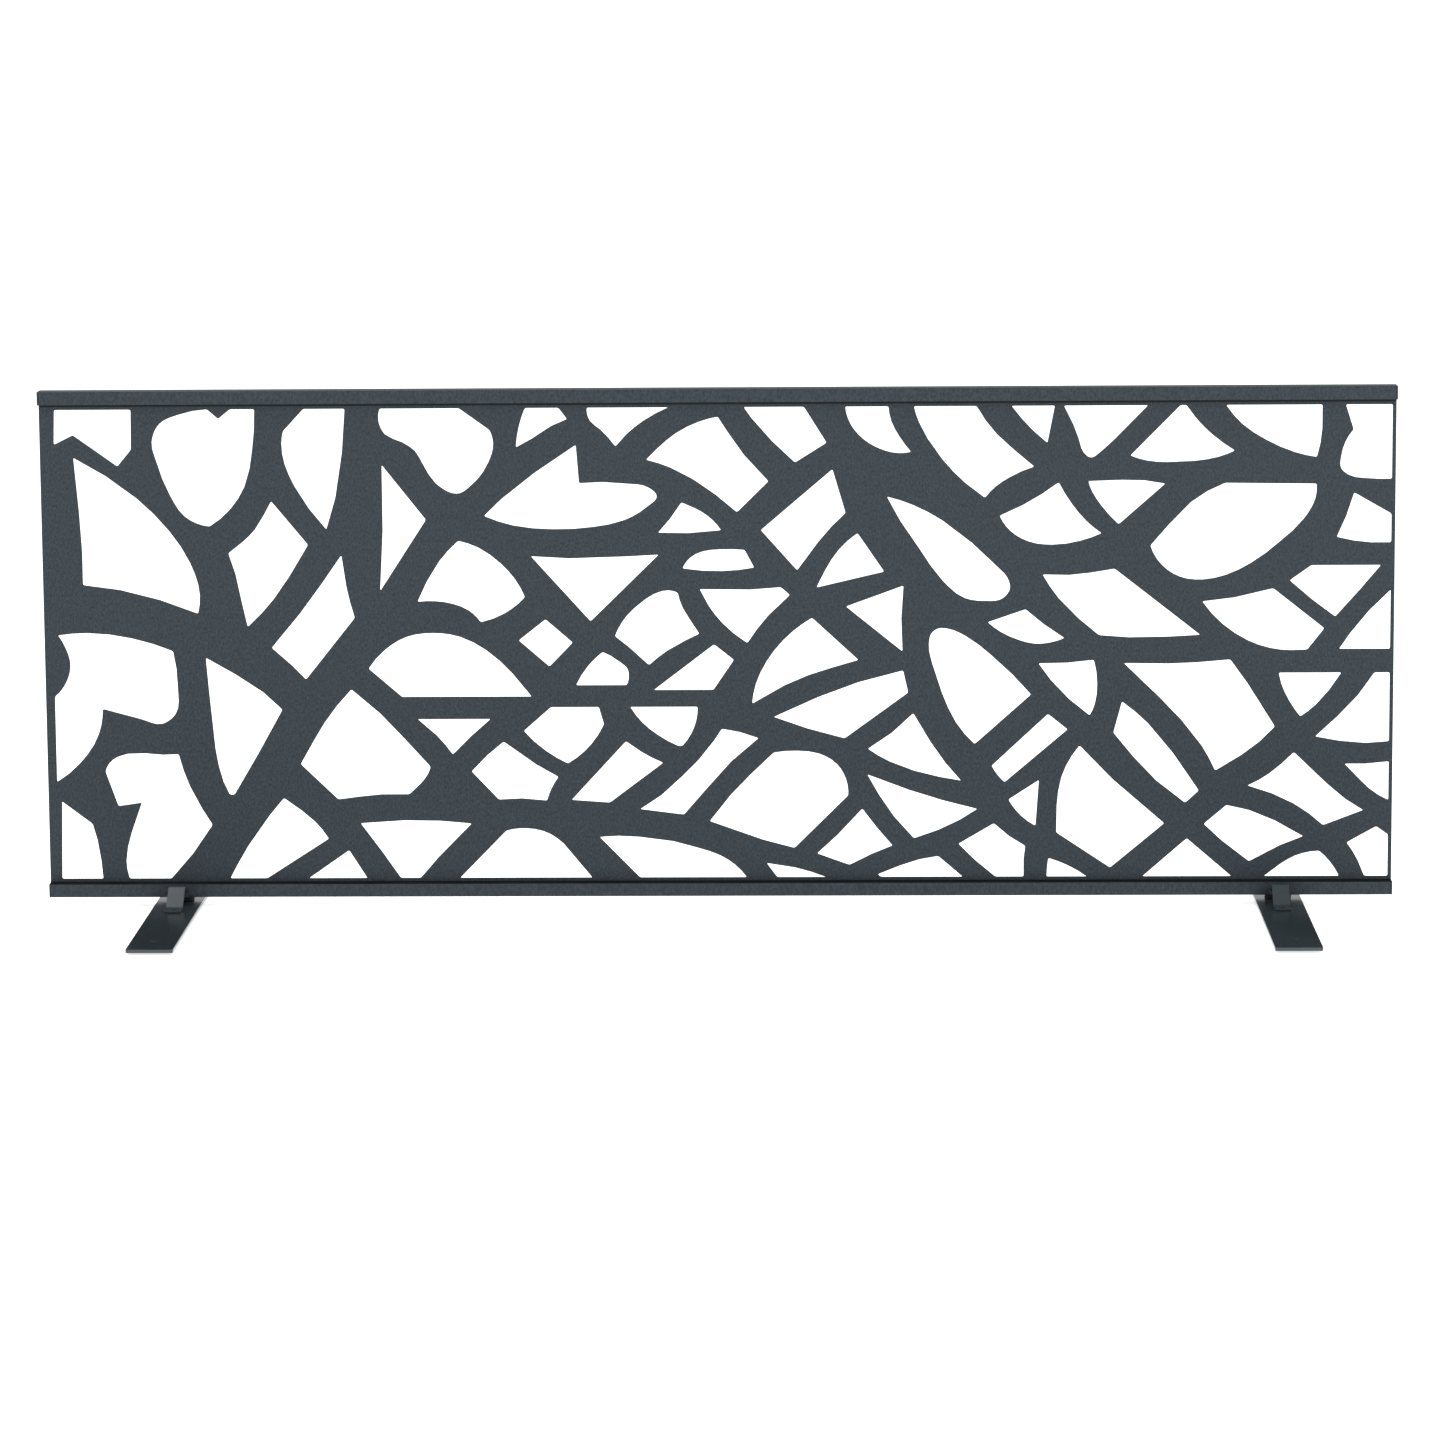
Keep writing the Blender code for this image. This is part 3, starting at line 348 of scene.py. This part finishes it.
# %% [markdown]
# ## The clamp screws
# Headless screws go through the back of each rail and press the sheet against its front lip. They
# only show from behind, as a dark disc with a hexagon socket. A fine chamfer on the disc and the
# socket makes both readable.

# %% Clamp screws
screws = [soft_piece(node, black_steel, width=0.12 * MM)
          for node in sorted(frame["nodes"]) if "_screw_" in node]
print(f"{len(screws)} clamp screws")

# %% [markdown]
# ## The feet
# Each foot is a piece of flat bar with two spring clips, a rubber seat for the rail and two rubber
# floor pads, all riveted together. The edges of the bar were broken with a file before coating,
# and the engineering model has that rounding already. The clips only get theirs here.

# %% Feet
for side in ("left", "right"):
    foot = side + "_foot"
    soft_piece(foot + "_plate", satin, width=0)
    soft_piece(foot + "_seat", rubber, width=0)
    for end in ("front", "rear"):
        soft_piece(f"{foot}_{end}_clip", spring, width=0.25 * MM, segments=3)
        soft_piece(f"{foot}_{end}_clip_rivet", black_steel, width=0.1 * MM)
        soft_piece(f"{foot}_{end}_pad", rubber, width=0.2 * MM)
        soft_piece(f"{foot}_{end}_pad_rivet", satin, width=0.1 * MM)
    plate_low, plate_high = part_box(foot + "_plate")
    plate = (plate_high - plate_low) / MM
    print(f"{foot}: plate {plate.x:.1f} x {plate.y:.1f} mm")

# %% [markdown]
# ## A white floor
# A screen like this is shown on a plain white sweep. One very large floor runs to the horizon, so
# no edge shows behind the windows. It is white and matt, with a little glow of its own, as if it
# were lit from all around: only the closest shadows under the feet stay visible.

# %% Floor
FLOOR_SIZE = 120.0
floor_paper, floor_shader = new_finish("matt white paper sweep", Base_Color=linear("#FFFFFF"),
                                       Roughness=0.9, Specular_IOR_Level=0.1,
                                       Emission_Color=linear("#FFFFFF"), Emission_Strength=0.65)
floor_bm = bmesh.new()
bmesh.ops.create_grid(floor_bm, x_segments=1, y_segments=1, size=FLOOR_SIZE / 2)
floor_mesh = bpy.data.meshes.new("floor")
floor_bm.to_mesh(floor_mesh)
floor_bm.free()
floor_mesh.materials.append(floor_paper)
floor = bpy.data.objects.new("floor", floor_mesh)
bpy.context.scene.collection.objects.link(floor)
print(f"floor: {FLOOR_SIZE:.0f} m square")

# %% [markdown]
# ## Soft studio light
# The surroundings are one even white, which fills every shadow and lies as a soft sheen on the
# coats. Two broad lamps give it a direction: the main one hangs high on the left and brightens
# what leans back, such as the left clip, and the other one stands low in front on the right.
# The low one shows in no mirror image, because it would lie on the plates as glare.

# %% World and lamps
world = bpy.data.worlds.new("white surroundings")
bpy.context.scene.world = world
world.use_nodes = True
background = world.node_tree.nodes["Background"]
background.inputs["Color"].default_value = linear("#FFFFFF")
background.inputs["Strength"].default_value = 0.9


def add_lamp(name, place, aim, size, power, mirrored):
    lamp = bpy.data.lights.new(name, "AREA")
    lamp.shape = "SQUARE"
    lamp.size = size
    lamp.energy = power
    holder = bpy.data.objects.new(name, lamp)
    holder.location = place
    holder.rotation_euler = (Vector(aim) - Vector(place)).to_track_quat("-Z", "Y").to_euler()
    holder.visible_glossy = mirrored
    bpy.context.scene.collection.objects.link(holder)


low, high = size_at_start
middle = (low + high) / 2
add_lamp("main light", (-0.9, 0.5, 2.4), (-0.5, 0, 0), size=1.0, power=17, mirrored=True)
add_lamp("right light", (2.4, -2.2, 1.6), middle, size=1.2, power=22, mirrored=False)
print("lamps placed")

# %% [markdown]
# ## Dark cards for the mirror images
# Photographers put black cards where shiny dark metal should stay dark. One stands close behind
# the panel and a low one stands in front of the feet, and both only show in mirror images: the
# plates mirror them instead of the white surroundings, from the front and from behind. The rear
# card ends above the floor, so the gap under the rail still shines on the plates.

# %% Dark cards
CARD_REACH = 150 * MM          # past each end of the screen
REAR_CARD_GAP = 35 * MM        # behind the bottom rail
FRONT_CARD_GAP = 60 * MM       # in front of the feet
card_paper, _ = new_finish("black felt card", Base_Color=linear("#050505"), Roughness=1.0,
                           Specular_IOR_Level=0.0)


def add_card(name, depth, bottom, top):
    left, right = low.x - CARD_REACH, high.x + CARD_REACH
    corners = [(left, bottom), (right, bottom), (right, top), (left, top)]
    card_bm = bmesh.new()
    card_bm.faces.new([card_bm.verts.new((x, depth, z)) for x, z in corners])
    card_mesh = bpy.data.meshes.new(name)
    card_bm.to_mesh(card_mesh)
    card_bm.free()
    card_mesh.materials.append(card_paper)
    card = bpy.data.objects.new(name, card_mesh)
    card.visible_camera = card.visible_diffuse = card.visible_shadow = False
    card.visible_transmission = False
    bpy.context.scene.collection.objects.link(card)
    print(f"{name}: {(top - bottom) / MM:.0f} mm high")


rail_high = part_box("bottom_rail")[1]
add_card("rear card", rail_high.y + REAR_CARD_GAP, bottom=rail_high.z + 1 * MM,
         top=high.z - 44 * MM)
add_card("front card", low.y - FRONT_CARD_GAP, bottom=1 * MM, top=120 * MM)

# %% [markdown]
# ## The camera
# A long lens from four metres away keeps the rails almost parallel. The camera stands a little to
# the right of the middle and higher than the screen, and looks slightly down and to the left, so
# the feet show in front of the rail and the plates run down to the left and the right.

# %% Camera
TO_THE_RIGHT, IN_FRONT, ABOVE = 0.108, 4.180, 0.910      # metres from the screen
camera_data = bpy.data.cameras.new("camera")
camera_data.sensor_width = 36
camera_data.lens = 125
camera_data.shift_y = -0.1          # the screen sits a little above the middle
camera_data.clip_end = 500
camera = bpy.data.objects.new("camera", camera_data)
stand = Vector((middle.x + TO_THE_RIGHT, low.y - IN_FRONT, low.z + ABOVE))
down, left, tilt = math.radians(7.95), math.radians(1.37), math.radians(-0.40)
camera.matrix_world = (Matrix.Translation(stand) @ Matrix.Rotation(left, 4, "Z")
                       @ Matrix.Rotation(math.pi / 2 - down, 4, "X")
                       @ Matrix.Rotation(tilt, 4, "Z"))
bpy.context.scene.collection.objects.link(camera)
bpy.context.scene.camera = camera
bpy.context.scene.view_settings.view_transform = "Standard"
print("camera at", [round(value, 3) for value in stand])
